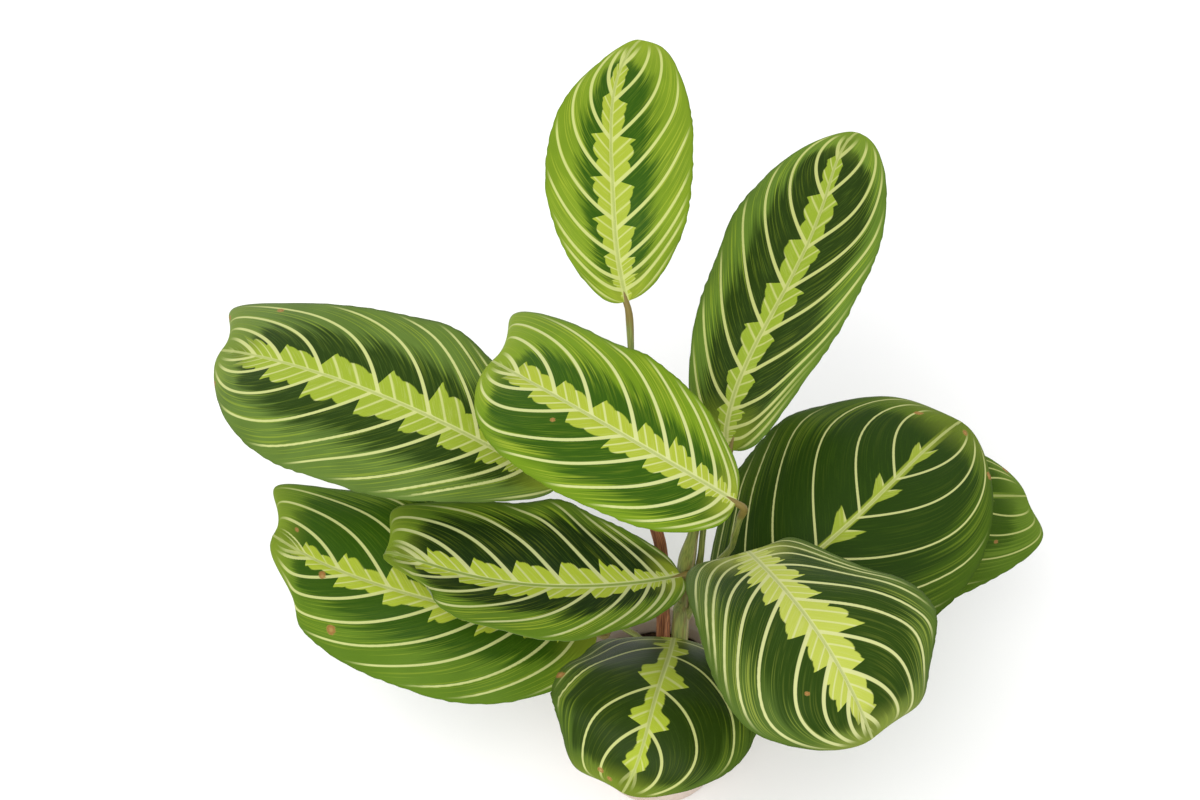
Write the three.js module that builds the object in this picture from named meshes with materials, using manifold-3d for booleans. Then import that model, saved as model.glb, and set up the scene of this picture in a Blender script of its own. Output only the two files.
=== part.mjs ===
// A potted prayer plant (maranta): ten patterned leaves on thin stalks that rise from a few sheathed
// shoots in a small taupe pot of soil. Millimetres, +Z up, origin at the centre of the pot's underside.
// +X is to the right and -Y is to the front.
import * as THREE from 'three';
import { mergeVertices } from 'three/addons/utils/BufferGeometryUtils.js';
import Module from 'manifold-3d';

const wasm = await Module();
wasm.setup();

// Driving dimensions of the pot and the soil
const POT_HEIGHT = 56;
const POT_RIM_RADIUS = 30;
const POT_BASE_RADIUS = 24;
const POT_WALL = 2;
const POT_FLOOR = 2.6;
const POT_CORNER = 1.5;
const RIM_BAND_HEIGHT = 7;
const RIM_BAND_STEP = 1.4;
const DRAIN_RADIUS = 3;
const DRAIN_CIRCLE_RADIUS = 13;
const DRAIN_COUNT = 4;
const SOIL_TOP = 44;
const SOIL_DOME = 1.5;
const CLEARANCE = 0.3;
const ROOT_DEPTH = 14;

// Driving dimensions that all leaves and stalks share
const BLADE_THICKNESS = 0.8;
const KEEL_HEIGHT = 0.9;
const NECK_HALF_WIDTH = 1.3;
const TIP_HALF_WIDTH = 0.7;
const WAVE_HEIGHT = 1.2;
const WAVE_COUNT = 3;
const WAVE_OFFSET = 0.37;
const END_POWER = 10;
const NECK_LENGTH = 3;
const STALK_RADIUS = 1.1;
const STALK_DROP = 0.6;
const KNEE_RADIUS = 1.35;
const KNEE_LENGTH = 11;
const KNEE_GAP = 0.5;
const FOOT_SHARE = 0.015;
const USUAL_GIRTH = [[0, STALK_RADIUS * 1.5], [0.45, STALK_RADIUS]];

const GREEN_BLADE = { color: 0x4d6b2c, roughness: 0.5, metalness: 0 };
const YOUNG_BLADE = { color: 0x8fae3e, roughness: 0.5, metalness: 0 };
const STALK_GREEN = { color: 0x77803c, roughness: 0.6, metalness: 0 };
const DRY_BROWN = { color: 0x7a5234, roughness: 0.8, metalness: 0 };
const TAUPE_PLASTIC = { color: 0xaf9b8c, roughness: 0.55, metalness: 0 };
const PEAT = { color: 0x3a2a1e, roughness: 0.95, metalness: 0 };

// Each leaf: where its blade starts, the crest that its midrib passes halfway, and its tip; how far it
// rolls about the midrib at the base and at the tip, how much its halves arch down towards the margins
// (curl) at the base and at the tip, and how far they fold up from the midrib (fold), in degrees; the
// fullness of its left and of its right half at the base, a quarter, a half and three quarters of the way
// and at the tip (halves); how far its left and right margins run on beside the tip (push) and back
// beside the stalk (lobe), and where the waves of its margin start (phase).
const LEAVES = {
  leaf_top: {
    base: [-13, 73, 180], crest: [-18, 112, 206], tip: [-7, 164, 216], roll: [0, 0], curl: [15, 20],
    fold: 12, halves: [[18, 21, 22, 21, 14], [24, 28, 27, 28, 20]], push: [0, 3], lobe: 1, phase: 0.1,
    finish: YOUNG_BLADE,
  },
  leaf_rear_right: {
    base: [23, 39, 141], crest: [46, 100, 168], tip: [72, 151, 183], roll: [10, 4], curl: [20, 20],
    fold: 8, halves: [[34, 30, 28, 28, 20], [21, 23, 26, 27, 26]], push: [0, 0], lobe: 2, phase: 0.4,
    finish: GREEN_BLADE,
  },
  leaf_upper_left: {
    base: [-37, 32, 130], crest: [-101, 57, 148], tip: [-161, 94, 128], roll: [4, 8], curl: [15, 25],
    fold: 8, halves: [[14, 32, 36, 38, 28], [32, 36, 37, 36, 55]], push: [0, 24], lobe: 2, phase: 0.7,
    finish: GREEN_BLADE,
  },
  leaf_centre: {
    base: [22, -2, 168], crest: [-19, 18, 182], tip: [-59, 60, 164], roll: [8, 12], curl: [20, 25],
    fold: 8, halves: [[22, 28, 27, 31, 32], [26, 27, 28, 33, 55]], push: [0, 24], lobe: 2, phase: 0.2,
    finish: YOUNG_BLADE,
  },
  leaf_mid_left: {
    base: [6, 7, 111], crest: [-43, -1, 116], tip: [-98, 18, 108], roll: [-2, 0], curl: [8, 12],
    fold: 17, halves: [[18, 24, 23, 20, 18], [20, 30, 32, 33, 45]], push: [-15, 13], lobe: 2, phase: 0.5,
    finish: GREEN_BLADE,
  },
  leaf_low_left: {
    base: [-23, 2, 81], crest: [-86, 10, 97], tip: [-142, 41, 86], roll: [12, 16], curl: [20, 25],
    fold: 6, halves: [[38, 38, 34, 34, 40], [34, 37, 38, 36, 45]], push: [-14, 23], lobe: 2, phase: 0.9,
    finish: GREEN_BLADE,
  },
  leaf_right: {
    base: [22, 0, 89], crest: [66, 26, 116], tip: [110, 72, 114], roll: [0, 0], curl: [20, 20],
    fold: 6, halves: [[58, 48, 48, 52, 62], [45, 45, 45, 43, 32]], push: [3, 0], lobe: 2, phase: 0.3,
    finish: GREEN_BLADE,
  },
  leaf_far_right: {
    base: [42, 59, 78], crest: [90, 58, 86], tip: [138, 62, 81], roll: [0, 0], curl: [15, 20],
    fold: 6, halves: [[30, 33, 34, 31, 34], [38, 42, 44, 44, 40]], push: [0, 8], lobe: 2, phase: 0.6,
    finish: GREEN_BLADE,
  },
  leaf_front: {
    base: [4, -3, 86], crest: [-4, -48, 121], tip: [-15, -76, 110], roll: [0, 0], curl: [20, 25],
    fold: 6, halves: [[40, 36, 34, 34, 24], [58, 36, 34, 34, 48]], push: [0, 5], lobe: 2, phase: 0.8,
    finish: GREEN_BLADE,
  },
  leaf_front_right: {
    base: [28, 3, 132], crest: [47, -46, 158], tip: [63, -74, 142], roll: [0, 0], curl: [20, 20],
    fold: 6, halves: [[46, 33, 39, 38, 58], [48, 36, 36, 39, 28]], push: [5, 0], lobe: 12, phase: 0.15,
    finish: GREEN_BLADE,
  },
};
const ROWS = 16;
const COLUMNS = [-1, -0.76, -0.5, -0.24, -0.045, 0.045, 0.24, 0.5, 0.76, 1];

const radians = THREE.MathUtils.degToRad;
const mix = THREE.MathUtils.lerp;
const point = (p) => new THREE.Vector3(...p);
const UP = new THREE.Vector3(0, 0, 1);

// A closed geometry with its shared corners merged, slivers dropped and faces turned outwards
function closed(geometry) {
  geometry.deleteAttribute('normal');
  geometry.deleteAttribute('uv');
  const merged = mergeVertices(geometry, 1e-4);
  const position = merged.attributes.position;
  const corners = merged.index.array;
  const kept = [];
  let volume = 0;
  const [a, b, c] = [new THREE.Vector3(), new THREE.Vector3(), new THREE.Vector3()];
  for (let i = 0; i < corners.length; i += 3) {
    const [p, q, r] = corners.slice(i, i + 3);
    if (p === q || q === r || r === p) continue;
    kept.push(p, q, r);
    a.fromBufferAttribute(position, p);
    b.fromBufferAttribute(position, q);
    c.fromBufferAttribute(position, r);
    volume += a.dot(b.cross(c));
  }
  if (volume < 0) kept.reverse();
  merged.setIndex(kept);
  return merged;
}

function solid(geometry) {
  const g = closed(geometry);
  const vertProperties = new Float32Array(g.attributes.position.array);
  const triVerts = new Uint32Array(g.index.array);
  return new wasm.Manifold(new wasm.Mesh({ numProp: 3, vertProperties, triVerts }));
}

function geometryOf(manifold) {
  const mesh = manifold.getMesh();
  const geometry = new THREE.BufferGeometry();
  geometry.setAttribute('position', new THREE.BufferAttribute(new Float32Array(mesh.vertProperties), 3));
  geometry.setIndex(new THREE.BufferAttribute(new Uint32Array(mesh.triVerts), 1));
  return geometry;
}

function piece(name, geometry, finish) {
  const mesh = new THREE.Mesh(geometry, new THREE.MeshStandardMaterial(finish));
  mesh.name = name;
  return mesh;
}

// The midrib is a quadratic curve through base, crest and tip
function midrib(leaf) {
  const [base, crest, tip] = [point(leaf.base), point(leaf.crest), point(leaf.tip)];
  const pull = crest.clone().multiplyScalar(2).addScaledVector(base, -0.5).addScaledVector(tip, -0.5);
  return new THREE.QuadraticBezierCurve3(base, pull, tip);
}

// The value at t of the smooth curve through evenly spaced values, the first at 0 and the last at 1
function smoothly(values, t) {
  const at = t * (values.length - 1);
  const share = (i) => values.reduce((part, _, j) => (j === i ? part : part * (at - j) / (i - j)), 1);
  return values.reduce((sum, value, i) => sum + value * share(i), 0);
}

// A point of the blade's upper face: t runs along the midrib, a from the left margin (-1) to the right
function bladePoint(leaf, curve, t, a) {
  const along = curve.getTangent(t);
  const side = along.clone().cross(UP).normalize();
  const normal = side.clone().cross(along);
  const roll = radians(mix(leaf.roll[0], leaf.roll[1], t));
  const across = side.clone().multiplyScalar(Math.cos(roll)).addScaledVector(normal, Math.sin(roll));
  const lift = normal.clone().multiplyScalar(Math.cos(roll)).addScaledVector(side, -Math.sin(roll));

  const full = smoothly(leaf.halves[a > 0 ? 1 : 0], t);
  const half = t > 0 && t < 1 ? full * Math.sqrt(Math.sin(Math.PI * t)) : 0;
  const reach = half + mix(NECK_HALF_WIDTH, TIP_HALF_WIDTH, t);

  const out = Math.abs(a);
  const curl = radians(mix(leaf.curl[0], leaf.curl[1], t));
  const fold = radians(leaf.fold);
  const arc = Math.sin(curl * out) / curl;
  const drop = (1 - Math.cos(curl * out)) / curl;
  const sideways = arc * Math.cos(fold) + drop * Math.sin(fold);
  const upwards = arc * Math.sin(fold) - drop * Math.cos(fold);
  const turn = 2 * Math.PI * (WAVE_COUNT * t + leaf.phase + (a > 0 ? WAVE_OFFSET : 0));
  const wave = WAVE_HEIGHT * out ** 2 * Math.sin(turn) * Math.sin(Math.PI * t);
  const push = a > 0 ? leaf.push[1] : leaf.push[0];
  const [onwards, back] = [Math.sin(Math.PI * t ** END_POWER), Math.sin(Math.PI * (1 - t) ** END_POWER)];
  const beside = push * onwards - leaf.lobe * back;

  return curve.getPoint(t)
    .addScaledVector(across, Math.sign(a) * reach * sideways)
    .addScaledVector(lift, reach * upwards + wave)
    .addScaledVector(along, out ** 1.5 * beside);
}

// A blade: the upper face on a grid of rows and columns, the lower face one thickness below it and split
// into triangles alike, a keel under the midrib, and the rim between the two faces
function blade(leaf) {
  const curve = midrib(leaf);
  const columns = COLUMNS.length - 1;
  const upper = new THREE.PlaneGeometry(1, 1, columns, ROWS);
  const position = upper.attributes.position;
  const rows = [];
  for (let i = 0; i <= ROWS; i += 1) {
    const even = i / ROWS;
    const t = mix(even, 0.5 - 0.5 * Math.cos(Math.PI * even), 0.6);
    rows.push(t);
    COLUMNS.forEach((a, j) => position.setXYZ(i * (columns + 1) + j, ...bladePoint(leaf, curve, t, a)));
  }
  upper.computeVertexNormals();
  const normals = upper.attributes.normal;
  const facing = Math.sign(normals.getZ(Math.floor(position.count / 2)));

  const count = position.count;
  const corners = new Float32Array(count * 6);
  for (let k = 0; k < count; k += 1) {
    const keel = Math.abs(COLUMNS[k % (columns + 1)]) < 0.1;
    const t = rows[Math.floor(k / (columns + 1))];
    const depth = BLADE_THICKNESS + (keel ? KEEL_HEIGHT * (1 - t) : 0);
    const top = new THREE.Vector3().fromBufferAttribute(position, k);
    const outward = new THREE.Vector3().fromBufferAttribute(normals, k);
    const under = top.clone().addScaledVector(outward, -facing * depth);
    corners.set([...top], 3 * k);
    corners.set([...under], 3 * (k + count));
  }
  const faces = [];
  const index = upper.index.array;
  for (let i = 0; i < index.length; i += 3) {
    const [p, q, r] = index.slice(i, i + 3);
    faces.push(p, q, r, r + count, q + count, p + count);
  }
  const edge = [];
  for (let j = 0; j < columns; j += 1) edge.push(j);
  for (let i = 0; i < ROWS; i += 1) edge.push(i * (columns + 1) + columns);
  for (let j = columns; j > 0; j -= 1) edge.push(ROWS * (columns + 1) + j);
  for (let i = ROWS; i > 0; i -= 1) edge.push(i * (columns + 1));
  edge.forEach((p, k) => {
    const q = edge[(k + 1) % edge.length];
    faces.push(p, q, q + count, p, q + count, p + count);
  });
  const geometry = new THREE.BufferGeometry();
  geometry.setAttribute('position', new THREE.BufferAttribute(corners, 3));
  geometry.setIndex(faces);
  return closed(geometry);
}

// A stem is lathed with the girth that its length has, and then bent along a curve through its points.
// girth lists [fraction of the length, radius].
function stem(through, girth, { steps = 14, sides = 8 } = {}) {
  const curve = new THREE.CatmullRomCurve3(through.map(point), false, 'centripetal');
  const radiusAt = (s) => {
    const next = Math.max(1, girth.findIndex(([at]) => at >= s));
    const [from, to] = [girth[next - 1], girth[next]];
    return mix(from[1], to[1], THREE.MathUtils.smoothstep(s, from[0], to[0]));
  };
  const profile = [new THREE.Vector2(0, 0)];
  for (let i = 0; i <= steps; i += 1) profile.push(new THREE.Vector2(radiusAt(i / steps), i / steps));
  profile.push(new THREE.Vector2(0, 1));
  const geometry = new THREE.LatheGeometry(profile, sides);
  const heading = point(through[through.length - 1]).sub(point(through[0]));
  const level = new THREE.Vector3(-heading.y, heading.x, 0).normalize();
  const position = geometry.attributes.position;
  for (let k = 0; k < position.count; k += 1) {
    const s = THREE.MathUtils.clamp(position.getY(k), 0, 1);
    const along = curve.getTangentAt(s);
    const across = level.clone().cross(along).normalize();
    const outward = across.clone().cross(along);
    const place = curve.getPointAt(s)
      .addScaledVector(across, position.getX(k))
      .addScaledVector(outward, position.getZ(k));
    position.setXYZ(k, ...place);
  }
  return solid(geometry);
}

// A stalk runs through the given points to just short of its blade, and swells into a knee there. It meets
// the blade's foot from behind, in line with the midrib, or the keel from below.
function stalk(leafName, through, { lower = USUAL_GIRTH, fromBelow = false } = {}) {
  const leaf = LEAVES[leafName];
  const curve = midrib(leaf);
  const along = curve.getTangent(0);
  const lift = along.clone().cross(UP).cross(along).normalize();
  const seat = fromBelow ? FOOT_SHARE : 0;
  const drop = fromBelow ? BLADE_THICKNESS + KEEL_HEIGHT + KNEE_GAP : STALK_DROP;
  const back = fromBelow ? 0 : KNEE_GAP;
  const end = curve.getPoint(seat).addScaledVector(lift, -drop).addScaledVector(along, -back);
  const neck = end.clone().addScaledVector(fromBelow ? lift : along, -NECK_LENGTH);
  const points = [...through, [...neck], [...end]];
  const length = new THREE.CatmullRomCurve3(points.map(point), false, 'centripetal').getLength();
  const knee = 1 - KNEE_LENGTH / length;
  const girth = [
    ...lower,
    [Math.max(knee - 0.04, 0.5), STALK_RADIUS],
    [mix(knee, 1, 0.45), KNEE_RADIUS],
    [1, STALK_RADIUS],
  ];
  return stem(points, girth, { steps: 16 });
}

// The pot: one moulded wall with a stepped rim band, and a floor with a ring of drain holes
function potWall() {
  const bandFoot = POT_HEIGHT - RIM_BAND_HEIGHT;
  const shoulder = POT_RIM_RADIUS - RIM_BAND_STEP;
  const profile = [
    [0, 0], [POT_BASE_RADIUS - POT_CORNER, 0], [POT_BASE_RADIUS, POT_CORNER], [shoulder, bandFoot],
    [POT_RIM_RADIUS - 0.2, bandFoot + 1], [POT_RIM_RADIUS, POT_HEIGHT - 1],
    [POT_RIM_RADIUS - 0.6, POT_HEIGHT], [POT_RIM_RADIUS - POT_WALL - 0.4, POT_HEIGHT],
    [POT_RIM_RADIUS - POT_WALL - 1, POT_HEIGHT - 1], [shoulder - POT_WALL, bandFoot],
    [POT_BASE_RADIUS - POT_WALL, POT_FLOOR + POT_CORNER],
    [POT_BASE_RADIUS - POT_WALL - POT_CORNER, POT_FLOOR], [0, POT_FLOOR],
  ].map(([r, z]) => new THREE.Vector2(r, z));
  return solid(new THREE.LatheGeometry(profile, 48).rotateX(Math.PI / 2));
}

function pot() {
  let wall = potWall();
  for (let k = 0; k < DRAIN_COUNT; k += 1) {
    const angle = (2 * Math.PI * (k + 0.5)) / DRAIN_COUNT;
    const drill = new THREE.CylinderGeometry(DRAIN_RADIUS, DRAIN_RADIUS, 4 * POT_FLOOR, 16);
    drill.rotateX(Math.PI / 2);
    drill.translate(DRAIN_CIRCLE_RADIUS * Math.cos(angle), DRAIN_CIRCLE_RADIUS * Math.sin(angle), 0);
    wall = wall.subtract(solid(drill));
  }
  return wall;
}

// Where each shoot stands in the soil: the centre of its root and the root's radius
const ROOTS = {
  main: { at: [7.4, 3], radius: 3 },
  left: { at: [-4.5, 1], radius: 2.3 },
  right: { at: [17, -3], radius: 2.3 },
  front: { at: [7, -8], radius: 1.8 },
  top: { at: [1, 11.5], radius: 2.2 },
  bract: { at: [2.1, 1.3], radius: 1.2 },
};
const rootFoot = SOIL_TOP - ROOT_DEPTH;
const rooted = (root) => [[...root.at, rootFoot], [...root.at, SOIL_TOP - 4], [...root.at, SOIL_TOP + 3]];

// The soil: a low dome that fills the pot, with a plain hole for each root
function soil() {
  const rise = POT_HEIGHT - RIM_BAND_HEIGHT - POT_CORNER;
  const slope = (POT_RIM_RADIUS - RIM_BAND_STEP - POT_BASE_RADIUS) / rise;
  const inner = (z) => POT_BASE_RADIUS - POT_WALL + slope * (z - POT_CORNER) - CLEARANCE;
  const floor = POT_FLOOR + CLEARANCE;
  const edge = SOIL_TOP - 1;
  const profile = [
    [0, floor], [inner(floor) - 2, floor], [inner(floor + 3) - 0.5, floor + 3], [inner(edge) - 0.3, edge],
    [23, SOIL_TOP + 0.3], [20, SOIL_TOP - 0.3], [14, SOIL_TOP + SOIL_DOME * 0.7], [7, SOIL_TOP + SOIL_DOME],
    [0, SOIL_TOP + SOIL_DOME * 0.8],
  ].map(([r, z]) => new THREE.Vector2(r, z));
  let body = solid(new THREE.LatheGeometry(profile, 40).rotateX(Math.PI / 2));
  for (const { at, radius } of Object.values(ROOTS)) {
    const hole = radius + CLEARANCE;
    const foot = SOIL_TOP - ROOT_DEPTH - CLEARANCE;
    const head = SOIL_TOP + 10;
    const drill = new THREE.CylinderGeometry(hole, hole, head - foot, 16).rotateX(Math.PI / 2);
    drill.translate(...at, (head + foot) / 2);
    body = body.subtract(solid(drill));
  }
  return body;
}

// The main shoot: a thick sheath, a slimmer one that rises out of it, and five stalks
function mainShoot() {
  const root = ROOTS.main;
  const lowerSheath = stem(
    [...rooted(root), [7, 5, 60], [7, 8.5, 93]],
    [[0, root.radius], [0.3, root.radius], [0.7, 3.1], [0.92, 2.9], [1, 1.8]],
    { sides: 12 },
  );
  const upperSheath = stem(
    [[7.5, 7, 73], [7.8, 10, 94], [8.3, 12.6, 110], [10.6, 15, 128], [11.8, 16.5, 136]],
    [[0, 2.2], [0.25, 3], [0.6, 3.1], [0.85, 1.9], [1, 1.3]],
    { sides: 10, steps: 12 },
  );
  return lowerSheath.add(upperSheath)
    .add(stalk('leaf_mid_left', [[8, 7.5, 80], [11, 6.5, 94], [11.3, 6.6, 103], [10.4, 7.6, 108.5]]))
    .add(stalk('leaf_centre', [
      [10, 11, 96], [18, 10.5, 112], [22.5, 8.4, 125], [23.2, 3, 142], [23.8, -1, 157],
    ]))
    .add(stalk('leaf_rear_right', [[9.5, 10, 90], [12.9, 14, 109], [14.1, 18, 128], [18, 28, 137]]))
    .add(stalk('leaf_front_right', [[11, 10, 92], [18, 6, 110], [26, 0.5, 122]], { fromBelow: true }))
    .add(stalk('leaf_upper_left', [[11, 15.5, 130], [7, 17.5, 133.5], [-4, 22, 132], [-21, 28, 129.5]]));
}

function leftShoot() {
  const root = ROOTS.left;
  const sheath = stem(
    [...rooted(root), [-5, 3.5, 54], [-6.7, 6, 68]],
    [[0, root.radius], [0.4, root.radius], [0.8, 2], [1, 1.2]],
    { steps: 10 },
  );
  return sheath
    .add(stalk('leaf_low_left', [[-5, 3.5, 54], [-6.7, 6, 69], [-12.6, 7, 75.5], [-18, 7, 80.5]]));
}

function rightShoot() {
  const root = ROOTS.right;
  const sheath = stem(
    [...rooted(root), [17, -2.5, 54], [17.5, -1, 62]],
    [[0, root.radius], [0.4, root.radius], [0.8, 2.1], [1, 1.2]],
    { steps: 10 },
  );
  return sheath
    .add(stalk('leaf_right', [[17, -3, 50], [16, -3.5, 68], [17.5, -2, 82]]))
    .add(stalk('leaf_far_right', [[17, -2.5, 50], [22, 14, 66], [29, 39, 74]]));
}

function frontStalk() {
  const root = ROOTS.front;
  const lower = [[0, root.radius], [0.32, root.radius], [0.45, STALK_RADIUS]];
  return stalk('leaf_front', [...rooted(root), [6.5, -9, 58], [4.5, -9, 75]], { lower, fromBelow: true });
}

// The stalk of the top leaf, whose lower half is wrapped in its dried sheath
function topStalk() {
  const root = ROOTS.top;
  const through = [
    ...rooted(root), [1, 13, 66], [0.8, 17, 86], [-0.6, 24, 105], [-5, 30.5, 118], [-10, 48, 145],
  ];
  const lower = [[0, root.radius], [0.15, 2.4], [0.5, 2.4], [0.57, STALK_RADIUS]];
  return stalk('leaf_top', through, { lower });
}

// A dried papery bract that stands against the main shoot's left side
function bract() {
  const root = ROOTS.bract;
  return stem(
    [...rooted(root), [2.1, 3.5, 58], [2.4, 7, 90]],
    [[0, root.radius], [0.3, root.radius], [0.6, 1.2], [0.85, 0.9], [1, 0.4]],
    { steps: 10 },
  );
}

const group = new THREE.Group();
group.add(piece('pot', geometryOf(pot()), TAUPE_PLASTIC));
group.add(piece('soil', geometryOf(soil()), PEAT));
group.add(piece('shoot_main', geometryOf(mainShoot()), STALK_GREEN));
group.add(piece('shoot_left', geometryOf(leftShoot()), STALK_GREEN));
group.add(piece('shoot_right', geometryOf(rightShoot()), STALK_GREEN));
group.add(piece('stalk_front', geometryOf(frontStalk()), STALK_GREEN));
group.add(piece('stalk_top', geometryOf(topStalk()), STALK_GREEN));
group.add(piece('dry_bract', geometryOf(bract()), DRY_BROWN));
for (const [name, leaf] of Object.entries(LEAVES)) group.add(piece(name, blade(leaf), leaf.finish));

export default group;
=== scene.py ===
import math

import bpy
import numpy as np
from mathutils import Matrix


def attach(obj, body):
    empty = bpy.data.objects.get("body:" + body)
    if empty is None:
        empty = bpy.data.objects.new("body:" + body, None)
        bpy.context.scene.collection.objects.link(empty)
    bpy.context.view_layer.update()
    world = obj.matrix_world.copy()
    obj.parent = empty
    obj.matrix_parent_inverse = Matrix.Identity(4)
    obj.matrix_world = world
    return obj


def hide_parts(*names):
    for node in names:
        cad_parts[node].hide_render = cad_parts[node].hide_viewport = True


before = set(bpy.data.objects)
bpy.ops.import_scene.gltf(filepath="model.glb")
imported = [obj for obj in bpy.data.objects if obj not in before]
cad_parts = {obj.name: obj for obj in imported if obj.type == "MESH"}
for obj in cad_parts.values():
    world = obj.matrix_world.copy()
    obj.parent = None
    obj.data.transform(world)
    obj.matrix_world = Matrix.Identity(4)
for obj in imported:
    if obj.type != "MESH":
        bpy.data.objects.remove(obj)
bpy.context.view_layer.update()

# The pot
# A small nursery pot of taupe polypropylene, injection moulded in one piece: a tapered wall, a stepped
# band that stiffens the rim, and a floor with a ring of drain holes. The satin skin is scuffed, and
# tap water has left a pale line inside.
MM = 0.001
POT_HEIGHT = 56.0
POT_RIM_RADIUS = 30.0
POT_BASE_RADIUS = 24.0
POT_WALL = 2.0
POT_FLOOR = 2.6
RIM_BAND_HEIGHT = 7.0
RIM_BAND_STEP = 1.4
RIM_BAND_DRAFT = 0.2
RIM_BAND_CHAMFER = 0.6
FOOT_RING_WIDTH = 6.0
FOOT_RECESS = 0.6
CORNER_EASE = 0.9
DRAIN_RADIUS = 3.0
DRAIN_CIRCLE_RADIUS = 13.0
DRAIN_COUNT = 4
DRAIN_SIDES = 32
DRILL_SPARE = 2.0
POT_SIDES = 192
SOIL_TOP = 44.0
SPLASH_HEIGHT = 14.0
WATER_LINE_HEIGHT = 6.0
WATER_LINE_WAVER = 5.0
SCUFF_HEIGHT = 3.0

# How far the wall leans out for each mm of height, halfway between its two faces
WALL_SLOPE = 0.097

# Colours are named as red, green and blue in steps of 0 to 255
TAUPE = (198, 178, 162)
TAUPE_LIGHT = (212, 194, 180)
SPLASHED_SOIL = (96, 74, 58)
WATER_LINE = (214, 204, 192)
SCUFFED = (203, 189, 176)


def in_linear(red, green, blue):
    """The linear colour of an sRGB one given in steps of 0 to 255, as shader sockets want it."""
    part = np.array([red, green, blue]) / 255
    linear = np.where(part <= 0.04045, part / 12.92, ((part + 0.055) / 1.055) ** 2.4)
    return (*linear.tolist(), 1.0)


class Value:
    """A number that varies over a surface. Python's operators on it add Math nodes."""

    def __init__(self, finish, socket):
        self.finish = finish
        self.socket = socket

    def maths(self, operation, *terms):
        return self.finish.node("ShaderNodeMath", {"operation": operation}, dict(enumerate(terms)))

    def __add__(self, other):
        return self.maths("ADD", self, other)

    def __sub__(self, other):
        return self.maths("SUBTRACT", self, other)

    def __rsub__(self, other):
        return self.maths("SUBTRACT", other, self)

    def __mul__(self, other):
        return self.maths("MULTIPLY", self, other)

    def __truediv__(self, other):
        return self.maths("DIVIDE", self, other)

    def __pow__(self, other):
        return self.maths("POWER", self, other)

    __radd__ = __add__
    __rmul__ = __mul__

    def fraction(self):
        return self.maths("FRACT", self)

    def whole(self):
        return self.maths("FLOOR", self)

    def size(self):
        """Its absolute value."""
        return self.maths("ABSOLUTE", self)

    def at_most(self, other):
        return self.maths("MINIMUM", self, other)

    def rise(self, low, high):
        """0 at low and 1 at high, with a smooth step between; high may be the lower of the two."""
        settings = {"interpolation_type": "SMOOTHSTEP"}
        return self.finish.node("ShaderNodeMapRange", settings, {0: self, 1: low, 2: high})

    def ramp(self, stops):
        """The value that a row of (place, value) stops gives here, in straight lines between them."""
        return self.finish.node("ShaderNodeValToRGB", {"stops": stops}, {0: self})


class Finish:
    """A procedural material around one Principled shader, whose unlinked sockets take `constants`."""

    def __init__(self, name, **constants):
        self.material = bpy.data.materials.new(name)
        self.material.use_nodes = True
        self.tree = self.material.node_tree
        self.shader = self.tree.nodes["Principled BSDF"]
        for socket, value in constants.items():
            self.shader.inputs[socket.replace("_", " ")].default_value = value

    def node(self, kind, settings, sockets, out=0):
        """Adds a node: its settings first, then a value or a link for each socket named or numbered."""
        made = self.tree.nodes.new(kind)
        for key, value in settings.items():
            if key == "stops":
                self.place_stops(made.color_ramp.elements, value)
            else:
                setattr(made, key, value)
        for key, value in sockets.items():
            if isinstance(value, Value):
                self.tree.links.new(value.socket, made.inputs[key])
            else:
                made.inputs[key].default_value = value
        return Value(self, made.outputs[out])

    @staticmethod
    def place_stops(elements, stops):
        while len(elements) < len(stops):
            elements.new(1.0)
        for element, (place, value) in zip(elements, stops):
            element.position = place
            element.color = (value, value, value, 1.0)

    def mix(self, under, over, share):
        """The colour `under` with a share of the colour `over` laid on it."""
        return self.node("ShaderNodeMix", {"data_type": "RGBA"}, {0: share, 6: under, 7: over}, out=2)

    def noise(self, place, scale, detail=2.0, roughness=0.5):
        sockets = {"Vector": place, "Scale": scale, "Detail": detail, "Roughness": roughness}
        return self.node("ShaderNodeTexNoise", {}, sockets)

    def place(self):
        """The place on the piece, in metres."""
        return self.node("ShaderNodeTexCoord", {}, {}, out="Object")

    def stretched(self, place, along_x, along_y, along_z):
        """A place whose three numbers are multiplied, to draw a pattern out or in along an axis."""
        settings = {"operation": "MULTIPLY"}
        return self.node("ShaderNodeVectorMath", settings, {0: place, 1: (along_x, along_y, along_z)})

    def parts(self, place):
        """The three numbers of a place or of a vector attribute."""
        split = self.node("ShaderNodeSeparateXYZ", {}, {0: place}).socket.node
        return [Value(self, output) for output in split.outputs]

    def together(self, x, y, z):
        """A place made of three numbers."""
        return self.node("ShaderNodeCombineXYZ", {}, {0: x, 1: y, 2: z})

    def attribute(self, name):
        """The three numbers that the mesh holds under this name at each point."""
        return self.parts(self.node("ShaderNodeAttribute", {"attribute_name": name}, {}, out="Vector"))

    def shade(self, socket, value):
        """Feeds one of the shader's sockets."""
        self.tree.links.new(value.socket, self.shader.inputs[socket])

    def emboss(self, height, millimetres):
        """Feeds the normal with a relief: height 0 to 1 stands for this many millimetres."""
        sockets = {"Strength": 1.0, "Distance": millimetres * MM, "Height": height}
        self.shade("Normal", self.node("ShaderNodeBump", {}, sockets))


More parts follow.
